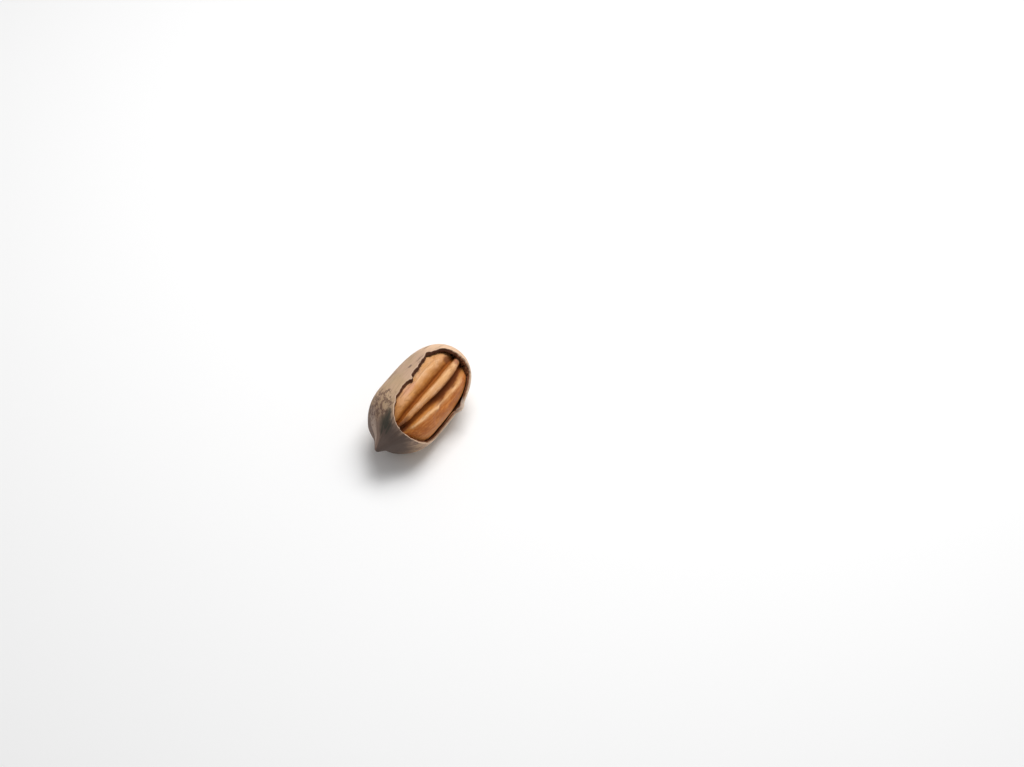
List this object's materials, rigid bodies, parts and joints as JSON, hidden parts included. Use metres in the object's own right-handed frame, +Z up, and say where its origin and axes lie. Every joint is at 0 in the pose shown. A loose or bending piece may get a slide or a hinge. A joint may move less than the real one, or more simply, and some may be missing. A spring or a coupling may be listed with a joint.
{
  "type": "pecan in broken shell",
  "caption": "Elongated pecan lying on its side, with a window broken out of its thin woody shell that shows the grooved kernel lying inside.",
  "frame": {"origin": "under the middle of the nut's bounding box, on the surface that it lies on", "axes": "+X along the nut from its pointed tip to its stem end, +Z up, and the broken window faces +Z and round towards -Y"},
  "size_m": [0.041, 0.0214, 0.0202],
  "materials": {
    "shell": "dry, smooth woody shell, tan with darker streaks and blotches",
    "kernel": "satin orange-brown seed skin, darker in the grooves",
    "partition": "dull dark brown corky tissue"
  },
  "bodies": {
    "root": {"shell": "shell", "kernel_upper_half": "kernel", "kernel_lower_half": "kernel", "partition": "partition"}
  },
  "joints": []
}
